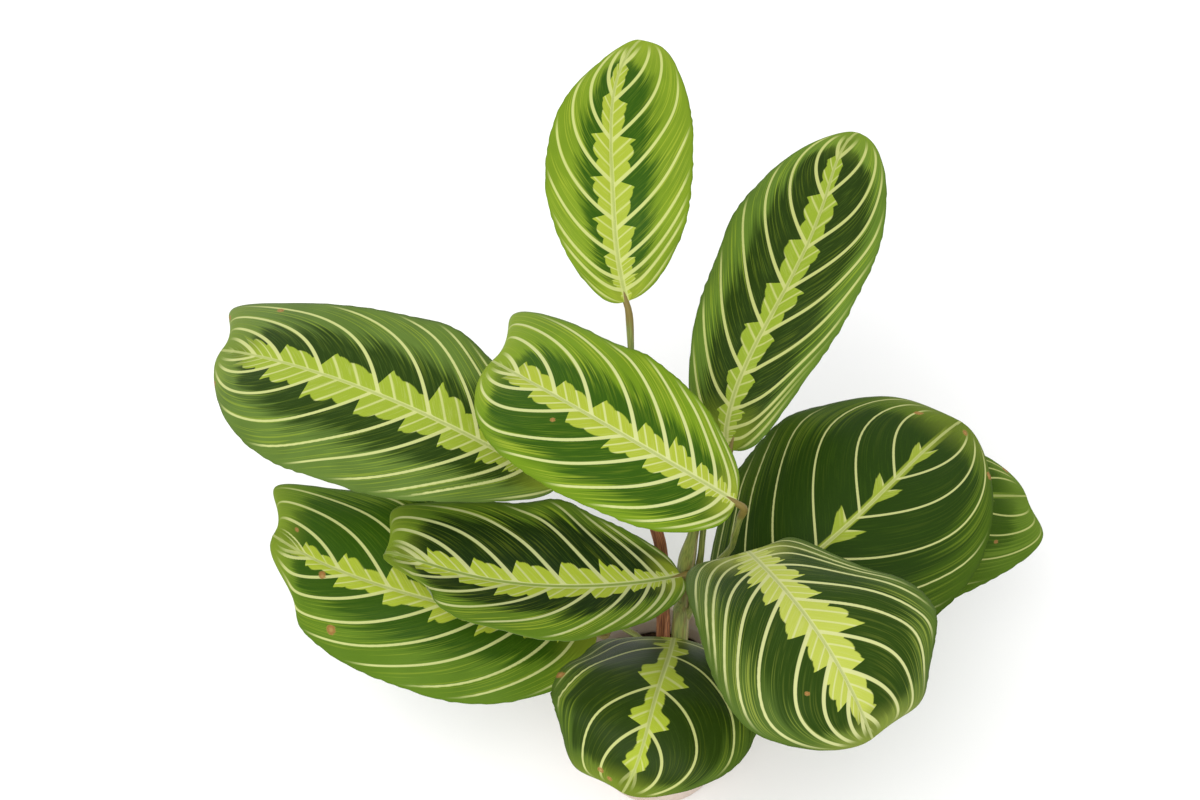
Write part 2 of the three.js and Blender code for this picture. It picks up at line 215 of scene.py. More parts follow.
def put_mesh(name, points, faces, finish, attributes=None):
    """A smooth-shaded object at the origin from points in mm and lists of corner numbers. `attributes`
    names a row of three numbers for each point."""
    mesh = bpy.data.meshes.new(name)
    mesh.from_pydata((points * MM).tolist(), [], faces)
    for key, rows in (attributes or {}).items():
        layer = mesh.attributes.new(key, "FLOAT_VECTOR", "POINT")
        layer.data.foreach_set("vector", np.ascontiguousarray(rows, np.float32).ravel())
    mesh.polygons.foreach_set("use_smooth", np.ones(len(mesh.polygons), bool))
    mesh.materials.append(finish.material)
    mesh.update()
    made = bpy.data.objects.new(name, mesh)
    bpy.context.scene.collection.objects.link(made)
    return made


def tube_faces(rings, sides):
    """Faces of a closed tube whose points are a foot pole, `rings` rings of `sides` points and a head
    pole: quads between one ring and the next, and a fan of triangles at each pole."""
    start = 1 + sides * np.arange(rings - 1)[:, None]
    here = np.arange(sides)[None, :]
    beside = (here + 1) % sides
    quads = np.stack([start + here, start + beside, start + sides + beside, start + sides + here], -1)
    rim = np.arange(sides)
    last = 1 + sides * (rings - 1)
    foot = np.stack([np.zeros(sides, int), 1 + (rim + 1) % sides, 1 + rim], -1)
    head = np.stack([np.full(sides, last + sides), last + rim, last + (rim + 1) % sides], -1)
    return quads.reshape(-1, 4).tolist() + foot.tolist() + head.tolist()


def eased(profile, radius, steps=5):
    """The profile with each inner corner eased: a quadratic curve from a point `radius` before the corner
    to one as far after it, with the corner as its pull."""
    profile = np.array(profile, float)
    before, corner, after = profile[:-2], profile[1:-1], profile[2:]
    cut_in = np.minimum(radius / np.linalg.norm(before - corner, axis=1), 0.45)[:, None, None]
    cut_out = np.minimum(radius / np.linalg.norm(after - corner, axis=1), 0.45)[:, None, None]
    s = np.linspace(0, 1, steps)[None, :, None]
    enter = corner[:, None] + (before - corner)[:, None] * cut_in
    leave = corner[:, None] + (after - corner)[:, None] * cut_out
    curve = (1 - s) ** 2 * enter + 2 * s * (1 - s) * corner[:, None] + s**2 * leave
    return np.concatenate([profile[:1], curve.reshape(-1, 2), profile[-1:]])


def turned(profile, sides):
    """A profile of (radius, height) carried once round the Z axis. Its first and last point are on the
    axis and become the two poles."""
    turn = 2 * np.pi * np.arange(sides) / sides
    r, z = profile[1:-1, 0, None], profile[1:-1, 1, None]
    rings = np.stack([r * np.cos(turn), r * np.sin(turn), z + 0 * turn], -1).reshape(-1, 3)
    poles = [[0, 0, profile[0, 1]]], [[0, 0, profile[-1, 1]]]
    return np.concatenate([poles[0], rings, poles[1]]), tube_faces(len(profile) - 2, sides)


def pot_finish():
    """Taupe plastic: a slow drift in tone, fine mould grain, scuffs along the rim and the foot, and a pale
    water line and soil splashes inside."""
    skin = Finish("taupe_plastic", Specular_IOR_Level=0.4)
    place = skin.place()
    x, y, z = skin.parts(place)
    radius = (x * x + y * y) ** 0.5 / MM
    height = z / MM
    drift = skin.noise(place, 38.0, 4.0)
    tone = skin.mix(in_linear(*TAUPE), in_linear(*TAUPE_LIGHT), drift.rise(0.35, 0.65))
    wall = POT_BASE_RADIUS - POT_WALL / 2 + height * WALL_SLOPE
    inside = (wall - radius).rise(0.0, 0.5)
    spot = skin.noise(place, 520.0, 3.0).rise(0.60, 0.72)
    splash = inside * spot * height.rise(SOIL_TOP + SPLASH_HEIGHT, SOIL_TOP)
    tone = skin.mix(tone, in_linear(*SPLASHED_SOIL), splash * 0.8)
    level = SOIL_TOP + WATER_LINE_HEIGHT
    line = inside * (height - level + (drift - 0.5) * WATER_LINE_WAVER).size().rise(1.6, 0.2)
    tone = skin.mix(tone, in_linear(*WATER_LINE), line * 0.55)
    scuff = skin.noise(skin.stretched(place, 1.0, 1.0, 7.0), 260.0, 5.0).rise(0.56, 0.66)
    worn = height.rise(SCUFF_HEIGHT, 0.5) + height.rise(POT_HEIGHT - 2.5, POT_HEIGHT - 0.5)
    tone = skin.mix(tone, in_linear(*SCUFFED), scuff * (0.12 + worn.at_most(1.0) * 0.5))
    skin.shade("Base Color", tone)
    skin.shade("Roughness", 0.42 + scuff * 0.2 + splash * 0.3)
    skin.emboss(skin.noise(place, 1400.0, 2.0), 0.05)
    return skin


foot_ring = POT_BASE_RADIUS - FOOT_RING_WIDTH
band_foot = POT_HEIGHT - RIM_BAND_HEIGHT
shoulder = POT_RIM_RADIUS - RIM_BAND_STEP
pot_profile = eased([
    (0, FOOT_RECESS), (foot_ring, FOOT_RECESS), (foot_ring - FOOT_RECESS, 0), (POT_BASE_RADIUS, 0),
    (shoulder, band_foot), (POT_RIM_RADIUS - RIM_BAND_DRAFT, band_foot + RIM_BAND_CHAMFER),
    (POT_RIM_RADIUS, POT_HEIGHT), (POT_RIM_RADIUS - POT_WALL, POT_HEIGHT), (shoulder - POT_WALL, band_foot),
    (POT_BASE_RADIUS - POT_WALL, POT_FLOOR), (0, POT_FLOOR),
], CORNER_EASE)
pot_points, pot_faces = turned(pot_profile, POT_SIDES)
taupe_plastic = pot_finish()
pot = put_mesh("moulded_pot", pot_points, pot_faces, taupe_plastic)

drill_foot, drill_head = -DRILL_SPARE, POT_FLOOR + DRILL_SPARE
drill_profile = np.array([(0, drill_foot), (DRAIN_RADIUS, drill_foot), (DRAIN_RADIUS, drill_head),
                          (0, drill_head)])
for k in range(DRAIN_COUNT):
    turn = 2 * math.pi * (k + 0.5) / DRAIN_COUNT
    drill_points, drill_faces = turned(drill_profile, DRAIN_SIDES)
    drill_points += [DRAIN_CIRCLE_RADIUS * math.cos(turn), DRAIN_CIRCLE_RADIUS * math.sin(turn), 0]
    drill = put_mesh("drain_drill", drill_points, drill_faces, taupe_plastic)
    hole = pot.modifiers.new("drain", "BOOLEAN")
    hole.operation = "DIFFERENCE"
    hole.solver = "EXACT"
    hole.object = drill
    with bpy.context.temp_override(object=pot, active_object=pot):
        bpy.ops.object.modifier_apply(modifier=hole.name)
    bpy.data.objects.remove(drill)
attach(pot, "root")
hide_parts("pot")

# The soil
# Dark peat compost, filled by hand to 12 mm below the rim and settled into a low dome by watering, with
# loose crumbs and white perlite grains lying on its top. The stems grow up out of it.
SOIL_DOME = 1.5
SOIL_CLEARANCE = 0.3
SOIL_SHOULDER = 1.6
SOIL_FOOT_HEIGHT = 3.0
SOIL_FOOT_CHAMFER = 2.0
SOIL_SIDES = 240
SOIL_RINGS = 84
WALL_FOOT = 2.5
CRUMB_COUNT = 180
CRUMB_SIZES = (0.8, 3.2)
PERLITE_COUNT = 45
PERLITE_SIZES = (0.9, 2.4)
GRAIN_SIDES = 9
GRAIN_STATIONS = 8
GRAIN_EDGE_GAP = 2.0
LATTICE_SIZE = 256

PEAT_DARK = (34, 24, 18)
PEAT_LIGHT = (86, 64, 47)
PEAT_FIBRE = (128, 96, 66)
PERLITE_WHITE = (226, 221, 210)
PERLITE_DUST = (150, 130, 108)


def rough(x, y, seed, step):
    """Value noise from -1 to 1: random heights on a square lattice `step` mm apart, eased between."""
    lattice = np.random.default_rng(seed).uniform(-1, 1, (LATTICE_SIZE, LATTICE_SIZE))
    u, v = x / step + LATTICE_SIZE / 2, y / step + LATTICE_SIZE / 2
    i, j = np.floor(u).astype(int), np.floor(v).astype(int)
    fu, fv = (3 - 2 * (u - i)) * (u - i) ** 2, (3 - 2 * (v - j)) * (v - j) ** 2
    i, j = i % (LATTICE_SIZE - 1), j % (LATTICE_SIZE - 1)
    low = lattice[i, j] * (1 - fu) + lattice[i + 1, j] * fu
    high = lattice[i, j + 1] * (1 - fu) + lattice[i + 1, j + 1] * fu
    return low * (1 - fv) + high * fv


def soil_height(x, y):
    """The settled dome with its crumbs: straight lines between levels at a few distances from the axis,
    highest at 7 mm, lowest in a moat at 20 mm and higher again beside the wall, plus three sizes of noise."""
    radius = np.hypot(x, y)
    stations = [0, 7, 14, 20, 23, 40]
    levels = [SOIL_DOME * 0.8, SOIL_DOME, SOIL_DOME * 0.7, -0.3, 0.3, -1]
    crumbs = 0.45 * rough(x, y, 3, 3.1) + 0.35 * rough(x, y, 4, 1.3) + 0.2 * rough(x, y, 5, 0.6)
    return SOIL_TOP - 0.5 + np.interp(radius, stations, levels) + crumbs


def soil_finish():
    """Peat: dark brown crumbs with lighter fibres, darker where its relief is low and lighter where it is
    high.
    """
    peat = Finish("peat", Roughness=0.95, Specular_IOR_Level=0.2)
    place = peat.place()
    grain = peat.noise(place, 900.0, 5.0, 0.7)
    fibre = peat.noise(peat.stretched(place, 1.0, 4.0, 1.0), 420.0, 4.0)
    tone = peat.mix(in_linear(*PEAT_DARK), in_linear(*PEAT_LIGHT), grain.rise(0.35, 0.7))
    tone = peat.mix(tone, in_linear(*PEAT_FIBRE), fibre.rise(0.63, 0.72) * 0.7)
    peat.shade("Base Color", tone)
    peat.emboss(grain, 0.6)
    return peat


soil_foot = POT_BASE_RADIUS - POT_WALL
soil_edge = soil_foot + WALL_SLOPE * (SOIL_TOP - WALL_FOOT) - 2 * SOIL_CLEARANCE
soil_reach = np.linspace(0, soil_edge, SOIL_RINGS)[1:]
soil_side = [(soil_edge, SOIL_TOP - SOIL_SHOULDER), (soil_foot, POT_FLOOR + SOIL_FOOT_HEIGHT),
             (soil_foot - SOIL_FOOT_CHAMFER, POT_FLOOR + SOIL_CLEARANCE), (0, POT_FLOOR + SOIL_CLEARANCE)]
soil_profile = np.concatenate([[(0, SOIL_TOP)], np.stack([soil_reach, 0 * soil_reach + SOIL_TOP], 1),
                               soil_side])[::-1]
soil_points, soil_faces = turned(soil_profile, SOIL_SIDES)
on_top = soil_points[:, 2] > SOIL_TOP - 0.1
soil_points[on_top, 2] = soil_height(*soil_points[on_top, :2].T)
peat = soil_finish()
soil = put_mesh("potting_soil", soil_points, soil_faces, peat)
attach(soil, "root")
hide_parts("soil")


def grains(name, count, sizes, seed, finish):
    """Loose grains as one mesh: each is a ball of 6 rings of 9 points, pulled out of round by its own
    random factor at every point. Their diameters are drawn between the two sizes, and each lies a third
    deep in the soil's top."""
    draw = np.random.default_rng(seed)
    radius = (soil_edge - GRAIN_EDGE_GAP) * np.sqrt(draw.uniform(0.01, 1, count))
    turn = draw.uniform(0, 2 * np.pi, count)
    x, y = radius * np.cos(turn), radius * np.sin(turn)
    half = draw.uniform(*sizes, count)[:, None] / 2
    arc = np.pi * np.linspace(0, 1, GRAIN_STATIONS)
    ball, faces = turned(np.stack([np.sin(arc), -np.cos(arc)], 1), GRAIN_SIDES)
    lumps = ball[None] * (half * draw.uniform(0.7, 1.25, (count, len(ball))))[..., None]
    lumps *= draw.uniform(0.7, 1.2, (count, 1, 3))
    lumps += np.stack([x, y, soil_height(x, y) + half[:, 0] * 0.3], -1)[:, None]
    all_faces = [[corner + k * len(ball) for corner in face] for k in range(count) for face in faces]
    made = put_mesh(name, lumps.reshape(-1, 3), all_faces, finish)
    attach(made, "root")


def perlite_finish():
    """Perlite: blown volcanic glass, off-white, pitted and dusted with peat."""
    white = Finish("perlite", Roughness=0.9)
    place = white.place()
    dust = white.noise(place, 1500.0, 4.0)
    tone = white.mix(in_linear(*PERLITE_WHITE), in_linear(*PERLITE_DUST), dust.rise(0.5, 0.75) * 0.6)
    white.shade("Base Color", tone)
    white.emboss(dust, 0.2)
    return white


grains("peat_crumbs", CRUMB_COUNT, CRUMB_SIZES, 21, peat)
grains("perlite_grains", PERLITE_COUNT, PERLITE_SIZES, 22, perlite_finish())

# The shoots and stalks
# A prayer plant's shoots are bundles of leaf bases. Each leaf's stalk starts as a fleshy green sheath
# that wraps the next one, with a thin papery margin where it overlaps, then runs on as a thin round
# stalk and ends in a swollen knee, which turns the blade by day and night. Old sheaths dry red-brown.
ROOT_DEPTH = 14.0
STALK_RADIUS = 1.1
STALK_DROP = 0.6
KNEE_RADIUS = 1.35
KNEE_LENGTH = 11.0
KNEE_START = 0.04
NECK_LENGTH = 3.0
KNEE_GAP = 0.5
FOOT_DEPTH = 2.2
FOOT_SHARES = (0, 0.015, 0.04, 0.1)
DEPTHS_FROM_BELOW = (1.3, 0.9)
DEPTHS_FROM_BEHIND = (1.0, 0.8)
END_RADIUS = 0.5
STEM_SIDES = 28
STEM_RINGS = 90
CURVE_STEPS = 60
RIDGE_COUNT = 11
SHEATH_TWIST = 0.12
PAPERY_SHARE = 0.08
STALK_KIND, SHEATH_KIND, DRY_KIND = 0.0, 1.0, 2.0

STALK_GREENS = ((96, 112, 50), (140, 146, 74))
STALK_BLUSH = (128, 84, 50)
SHEATH_GREEN = (128, 132, 62)
SHEATH_BROWN = (104, 84, 44)
PAPERY_EDGE = (190, 160, 128)
KNEE_BROWN = (116, 96, 42)
HUSK_ON_GREEN = ((92, 52, 30), (150, 98, 60))
HUSK_DRIED = ((92, 50, 30), (160, 106, 66))

# Where the midrib of each blade starts, the crest that it passes halfway, and its tip
MIDRIBS = {
    "leaf_top": ((-13, 73, 180), (-18, 112, 206), (-7, 164, 216)),
    "leaf_rear_right": ((23, 39, 141), (46, 100, 168), (72, 151, 183)),
    "leaf_upper_left": ((-37, 32, 130), (-101, 57, 148), (-161, 94, 128)),
    "leaf_centre": ((22, -2, 168), (-19, 18, 182), (-59, 60, 164)),
    "leaf_mid_left": ((6, 7, 111), (-43, -1, 116), (-98, 18, 108)),
    "leaf_low_left": ((-23, 2, 81), (-86, 10, 97), (-142, 41, 86)),
    "leaf_right": ((22, 0, 89), (66, 26, 116), (110, 72, 114)),
    "leaf_far_right": ((42, 59, 78), (90, 58, 86), (138, 62, 81)),
    "leaf_front": ((4, -3, 86), (-4, -48, 121), (-15, -76, 110)),
    "leaf_front_right": ((28, 3, 132), (47, -46, 158), (63, -74, 142)),
}


def unit(vectors):
    """The vectors, each divided by its length."""
    return vectors / np.linalg.norm(vectors, axis=-1, keepdims=True)


def midrib(name, t):
    """The quadratic curve from base to tip that passes the crest halfway, and its direction."""
    base, crest, tip = (np.array(p, float) for p in MIDRIBS[name])
    pull = 2 * crest - (base + tip) / 2
    t = np.asarray(t, float)[..., None]
    place = (1 - t) ** 2 * base + 2 * t * (1 - t) * pull + t**2 * tip
    return place, unit((1 - t) * (pull - base) + t * (tip - pull))


def centreline(points, count):
    """A centripetal Catmull-Rom curve through the points, as places evenly spaced along it: each stretch
    is a cubic whose slopes come from its neighbours, timed by the square root of their distances."""
    p = np.array(points, float)
    p = np.concatenate([[2 * p[0] - p[1]], p, [2 * p[-1] - p[-2]]])
    gap = np.sqrt(np.linalg.norm(np.diff(p, axis=0), axis=1))[:, None]
    slope = np.diff(p, axis=0) / gap
    wide = (p[2:] - p[:-2]) / (gap[:-1] + gap[1:])
    leave = ((slope[:-2] - wide[:-1] + slope[1:-1]) * gap[1:-1])[:, None]
    arrive = ((slope[1:-1] - wide[1:] + slope[2:]) * gap[1:-1])[:, None]
    a, b = p[1:-2, None], p[2:-1, None]
    u = np.linspace(0, 1, CURVE_STEPS, endpoint=False)[None, :, None]
    fine = a + leave * u + (3 * (b - a) - 2 * leave - arrive) * u**2
    fine = fine + (2 * (a - b) + leave + arrive) * u**3
    fine = np.concatenate([fine.reshape(-1, 3), p[-2:-1]])
    run = np.concatenate([[0], np.cumsum(np.linalg.norm(np.diff(fine, axis=0), axis=1))])
    even = np.linspace(0, run[-1], count)
    return np.stack([np.interp(even, run, fine[:, k]) for k in range(3)], -1), run[-1]


def stem(points, girth, kind, rings=STEM_RINGS, ribs=0.0, lip=0.0, seam=0.0, knee=2.0):
    """A round stem along a curve. Its radius eases between the (share of length, radius) stations; `ribs`
    swells it in 11 lengthwise ridges by that share of it, and `lip` lets it grow by that many mm round one
    turn from `seam`, so that its edge overlaps itself. From the share `knee` on, it is the leaf's knee."""
    place, length = centreline(points, rings)
    s = np.linspace(0, 1, rings)
    at, radius = np.array(girth).T
    k = np.clip(np.searchsorted(at, s, side="right") - 1, 0, len(at) - 2)
    share = np.clip((s - at[k]) / (at[k + 1] - at[k]), 0, 1)
    radius = (radius[k] + (radius[k + 1] - radius[k]) * share**2 * (3 - 2 * share))[:, None]
    along = unit(np.gradient(place, axis=0))
    heading = place[-1] - place[0]
    level = unit(np.array([-heading[1], heading[0], 0.0]))
    across = unit(np.cross(level, along))
    upward = np.cross(along, across)
    turn = (2 * np.pi * np.arange(STEM_SIDES) / STEM_SIDES)[None, :]
    round_share = (turn / (2 * np.pi) - seam - SHEATH_TWIST * s[:, None]) % 1.0
    flare = lip * (round_share - 0.5) * np.sin(np.pi * s[:, None]) ** 0.3
    r = radius * (1 + ribs * np.cos(RIDGE_COUNT * turn)) + flare
    ring = (np.cos(turn) * r)[..., None] * across[:, None] + (np.sin(turn) * r)[..., None] * upward[:, None]
    shell = place[:, None] + ring
    points = np.concatenate([place[:1], shell.reshape(-1, 3), place[-1:]])

    up = np.repeat(s * length, STEM_SIDES)
    growth = np.stack([(np.cos(turn) * r).ravel(), (np.sin(turn) * r).ravel(), up], -1)
    to_seam = np.minimum(round_share, 1 - round_share)
    edge = np.maximum(1 - to_seam / PAPERY_SHARE, 0)
    bend = np.clip((s - knee) / KNEE_START, 0, 1)
    skin = np.stack([kind + 0 * up, np.repeat(bend, STEM_SIDES), (edge * (lip > 0)).ravel()], -1)
    both = [np.concatenate([rows[:1], rows, rows[-1:]]) for rows in (growth, skin)]
    return points, tube_faces(rings, STEM_SIDES), *both


def stalk(name, through, lower=((0, 1.65), (0.45, 1.1)), kind=STALK_KIND, from_below=False):
    """A stalk that ends in its knee and runs out along the underside of the blade's foot, in line with the
    midrib. It comes from behind, or up from below. `lower` lists its first (share of length, radius)
    stations."""
    place, along = midrib(name, FOOT_SHARES)
    level = unit(np.cross(along, [0, 0, 1]))
    below = -np.cross(level, along)
    if from_below:
        end = place[1] + below[1] * FOOT_DEPTH
        neck = end + below[1] * NECK_LENGTH
        under = [place[1] + below[1] * depth for depth in DEPTHS_FROM_BELOW]
    else:
        end = place[0] + below[0] * STALK_DROP - along[0] * KNEE_GAP
        neck = end - along[0] * NECK_LENGTH
        under = [place[k] + below[k] * depth for k, depth in zip((2, 3), DEPTHS_FROM_BEHIND)]
    points = [*through, neck, end, *under]
    _, length = centreline(points, 9)
    _, short = centreline(points[:-2], 9)
    last = short / length
    knee = last * (1 - KNEE_LENGTH / short)
    girth = [*[(at * last, radius) for at, radius in lower],
             (max(knee - KNEE_START, 0.5 * last), STALK_RADIUS),
             (knee + (last - knee) * 0.45, KNEE_RADIUS), (last, STALK_RADIUS), (1, END_RADIUS)]
    return stem(points, girth, kind, knee=knee)


def rooted(x, y):
    """Straight up out of the soil from the root's foot."""
    return [(x, y, SOIL_TOP - ROOT_DEPTH), (x, y, SOIL_TOP - 4), (x, y, SOIL_TOP + 3)]


def stem_finish(name, browns):
    """Stem skin: fine lengthwise streaks between two greens, with reddish blotches; sheaths are browner
    with a tan papery margin; the knee is yellow-brown; dried sheaths are streaked in two red-browns."""
    skin = Finish(name, Specular_IOR_Level=0.35)
    across, outward, up = skin.attribute("growth")
    kind, knee, margin = skin.attribute("skin")
    streak = skin.noise(skin.together(across * 3, outward * 3, up * 0.12), 1.0, 3.0)
    blotch = skin.noise(skin.together(across * 0.6, outward * 0.6, up * 0.10), 1.0, 2.0)
    tone = skin.mix(*(in_linear(*green) for green in STALK_GREENS), streak.rise(0.35, 0.65))
    tone = skin.mix(tone, in_linear(*STALK_BLUSH), blotch.rise(0.56, 0.72) * 0.4)
    sheath = kind.rise(0.2, 0.8)
    tone = skin.mix(tone, in_linear(*SHEATH_GREEN), sheath * streak.rise(0.3, 0.7) * 0.6)
    tone = skin.mix(tone, in_linear(*SHEATH_BROWN), sheath * blotch.rise(0.5, 0.66) * 0.45)
    tone = skin.mix(tone, in_linear(*PAPERY_EDGE), margin.rise(0.3, 0.9) * 0.6)
    dry = kind.rise(1.2, 1.8)
    husk = skin.mix(*(in_linear(*brown) for brown in browns), streak.rise(0.3, 0.68))
    tone = skin.mix(tone, husk, dry)
    tone = skin.mix(tone, in_linear(*KNEE_BROWN), knee.rise(0.0, 1.0) * 0.85)
    skin.shade("Base Color", tone)
    skin.shade("Roughness", 0.46 + dry * 0.3 + streak * 0.1)
    skin.emboss(streak, 0.12)
    return skin


def grow(name, node, slot, finish, *shells):
    """One shoot: its sheaths and stalks as one mesh, which stands for the node."""
    starts = np.cumsum([0] + [len(shell[0]) for shell in shells])
    points, growth, skin = (np.concatenate([shell[k] for shell in shells]) for k in (0, 2, 3))
    faces = [[corner + int(start) for corner in face] for start, shell in zip(starts, shells)
             for face in shell[1]]
    made = put_mesh(name, points, faces, finish, {"growth": growth, "skin": skin})
    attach(made, "root")
    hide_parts(node)


green_stem = stem_finish("stem_green", HUSK_ON_GREEN)
dried_stem = stem_finish("stem_dried", HUSK_DRIED)

grow(
    "main_shoot", "shoot_main", "stalk", green_stem,
    stem([*rooted(7.4, 3), (7, 5, 60), (7, 8.5, 93)],
         [(0, 3), (0.3, 3), (0.7, 3.1), (0.92, 2.9), (1, 1.8)], SHEATH_KIND, 140, 0.02, 0.4, 0.55),
    stem([(7.5, 7, 73), (7.8, 10, 94), (8.3, 12.6, 110), (10.6, 15, 128), (11.8, 16.5, 136)],
         [(0, 2.2), (0.25, 3), (0.6, 3.1), (0.85, 1.9), (1, 1.3)], SHEATH_KIND, 120, 0.02, 0.4, 0.6),
    stalk("leaf_mid_left", [(8, 7.5, 80), (11, 6.5, 94), (11.3, 6.6, 103), (10.4, 7.6, 108.5)]),
    stalk("leaf_centre", [(10, 11, 96), (18, 10.5, 112), (22.5, 8.4, 125), (23.2, 3, 142), (23.8, -1, 157)]),
    stalk("leaf_rear_right", [(9.5, 10, 90), (12.9, 14, 109), (14.1, 18, 128), (18, 28, 137)]),
    stalk("leaf_front_right", [(11, 10, 92), (18, 6, 110), (26, 0.5, 122)], from_below=True),
    stalk("leaf_upper_left", [(11, 15.5, 130), (7, 17.5, 133.5), (-4, 22, 132), (-21, 28, 129.5)]),
)
grow(
    "left_shoot", "shoot_left", "stalk", green_stem,
    stem([*rooted(-4.5, 1), (-5, 3.5, 54), (-6.7, 6, 68)],
         [(0, 2.3), (0.4, 2.3), (0.8, 2), (1, 1.2)], SHEATH_KIND, 90, 0.02, 0.3, 0.3),
    stalk("leaf_low_left", [(-5, 3.5, 54), (-6.7, 6, 69), (-12.6, 7, 75.5), (-18, 7, 80.5)]),
)
grow(
    "right_shoot", "shoot_right", "stalk", green_stem,
    stem([*rooted(17, -3), (17, -2.5, 54), (17.5, -1, 62)],
         [(0, 2.3), (0.4, 2.3), (0.8, 2.1), (1, 1.2)], SHEATH_KIND, 80, 0.02, 0.3, 0.8),
    stalk("leaf_right", [(17, -3, 50), (16, -3.5, 68), (17.5, -2, 82)]),
    stalk("leaf_far_right", [(17, -2.5, 50), (22, 14, 66), (29, 39, 74)]),
)
grow(
    "front_stalk", "stalk_front", "stalk", green_stem,
    stalk("leaf_front", [*rooted(7, -8), (6.5, -9, 58), (4.5, -9, 75)], ((0, 1.8), (0.32, 1.8), (0.45, 1.1)),
          from_below=True),
)
grow(
    "top_stalk", "stalk_top", "stalk", dried_stem,
    stalk("leaf_top", [*rooted(1, 11.5), (1, 13, 66), (0.8, 17, 86), (-0.6, 24, 105), (-5, 30.5, 118),
                       (-10, 48, 145)], ((0, 1.8), (0.15, 1.8), (0.5, 1.6), (0.57, 1.1))),
    stem([*rooted(1, 11.5), (1, 13, 66), (0.8, 17, 86), (-0.6, 24, 105), (-4.6, 30, 117.3)],
         [(0, 2.2), (0.2, 2.3), (0.9, 2.2), (1, 1.3)], DRY_KIND, 110, 0.03, 0.4, 0.35),
)
grow(
    "dried_bract", "dry_bract", "dry_sheath", dried_stem,
    stem([*rooted(2.1, 1.3), (2.1, 3.5, 58), (2.4, 7, 90)],
         [(0, 1.2), (0.3, 1.2), (0.6, 1.2), (0.85, 0.9), (1, 0.4)], DRY_KIND, 90, 0.06),
)

# The leaves
# Ten blades, each one grown piece a third of a millimetre thick, with a midrib that stands out as a keel
# underneath. Pale side veins leave the midrib in pairs and sweep towards the tip, the blade is quilted
# between them, and every panel has a dark patch beside a toothed pale lobe along the midrib.
BLADE_THICKNESS = 0.35
KEEL_HEIGHT = 0.9
NECK_HALF_WIDTH = 1.3
TIP_HALF_WIDTH = 0.7
WAVE_HEIGHT = 1.2
WAVE_COUNT = 3
WAVE_OFFSET = 0.37
END_POWER = 10
QUILT_HEIGHT = 0.32
QUILT_SINK = 0.25
QUILT_GAP = 6.0
GROOVE_DEPTH = 0.35
GROOVE_WIDTH = 0.9
KEEL_WIDTH = 1.1
RELIEF_START = 1.2
RIPPLE_HEIGHT = 0.5
RIPPLE_STEP = 9.0
FRAY_DEPTH = 0.25
FRAY_STEP = 2.3
LEAF_ROWS = 180
EVEN_ROWS = 0.4
LEAF_COLUMNS = 64
COLUMN_POWER = 1.25
FIRST_SEED = 40
SEED_STEP = 3

# Markings, as shares of a half's width or of the way from one side vein to the next
TOOTH_LEAN = 0.45
TOOTH_END = (0.61, 0.72)
EDGE_WAVER = 0.022
EDGE_BLUR = 0.009
PATCH_BLUR = 0.13

# Lines and specks, in mm
VEIN_HALF_WIDTH = 0.72
VEIN_THINNING = 0.38
VEIN_BLUR = 0.14
SCAR_BLUR = 0.3

# The lamp and the gloss brighten a blade, so each of its colours is laid on by this share, less the sheen
LEAF_ALBEDO = 0.66
SHEEN = 0.005
DARKEST = 0.002
RIB_STRENGTH = 0.35
NO_STRAY = (0.0, 0.0, 0.0, 0.0, 0.0)
RIB_GREEN = (136, 160, 66)
SCAR_EDGE = (206, 160, 98)
SCAR_HEART = (150, 96, 44)
UNDERSIDE = (158, 172, 124)

# Each blade's shape: how far it rolls at the base and at the tip, how much its halves arch down (curl) and
# fold up, in degrees; the fullness of its left and right half at the base, each quarter and the tip;
# how far its margins run on beside the tip (push) and back beside the stalk (lobe); where its waves start.
BLADES = {
    "leaf_top": dict(roll=(0, 0), curl=(15, 20), fold=12, push=(0, 3), lobe=1, phase=0.1,
                     halves=((18, 21, 22, 21, 14), (24, 28, 27, 28, 20))),
    "leaf_rear_right": dict(roll=(10, 4), curl=(20, 20), fold=8, push=(0, 0), lobe=2, phase=0.4,
                            halves=((34, 30, 28, 28, 20), (21, 23, 26, 27, 26))),
    "leaf_upper_left": dict(roll=(4, 8), curl=(15, 25), fold=8, push=(0, 24), lobe=2, phase=0.7,
                            halves=((14, 32, 36, 38, 28), (32, 36, 37, 36, 55))),
    "leaf_centre": dict(roll=(8, 12), curl=(20, 25), fold=8, push=(0, 24), lobe=2, phase=0.2,
                        halves=((22, 28, 27, 31, 32), (26, 27, 28, 33, 55))),
    "leaf_mid_left": dict(roll=(-2, 0), curl=(8, 12), fold=17, push=(-15, 13), lobe=2, phase=0.5,
                          halves=((18, 24, 23, 20, 18), (20, 30, 32, 33, 45))),
    "leaf_low_left": dict(roll=(12, 16), curl=(20, 25), fold=6, push=(-14, 23), lobe=2, phase=0.9,
                          halves=((38, 38, 34, 34, 40), (34, 37, 38, 36, 45))),
    "leaf_right": dict(roll=(0, 0), curl=(20, 20), fold=6, push=(3, 0), lobe=2, phase=0.3,
                       halves=((58, 48, 48, 52, 62), (45, 45, 45, 43, 32))),
    "leaf_far_right": dict(roll=(0, 0), curl=(15, 20), fold=6, push=(0, 8), lobe=2, phase=0.6,
                           halves=((30, 33, 34, 31, 34), (38, 42, 44, 44, 40))),
    "leaf_front": dict(roll=(0, 0), curl=(20, 25), fold=6, push=(0, 5), lobe=2, phase=0.8,
                       halves=((40, 36, 34, 34, 24), (58, 36, 34, 34, 48))),
    "leaf_front_right": dict(roll=(0, 0), curl=(20, 20), fold=6, push=(5, 0), lobe=12, phase=0.15,
                             halves=((46, 33, 39, 38, 58), (48, 36, 36, 39, 28))),
}

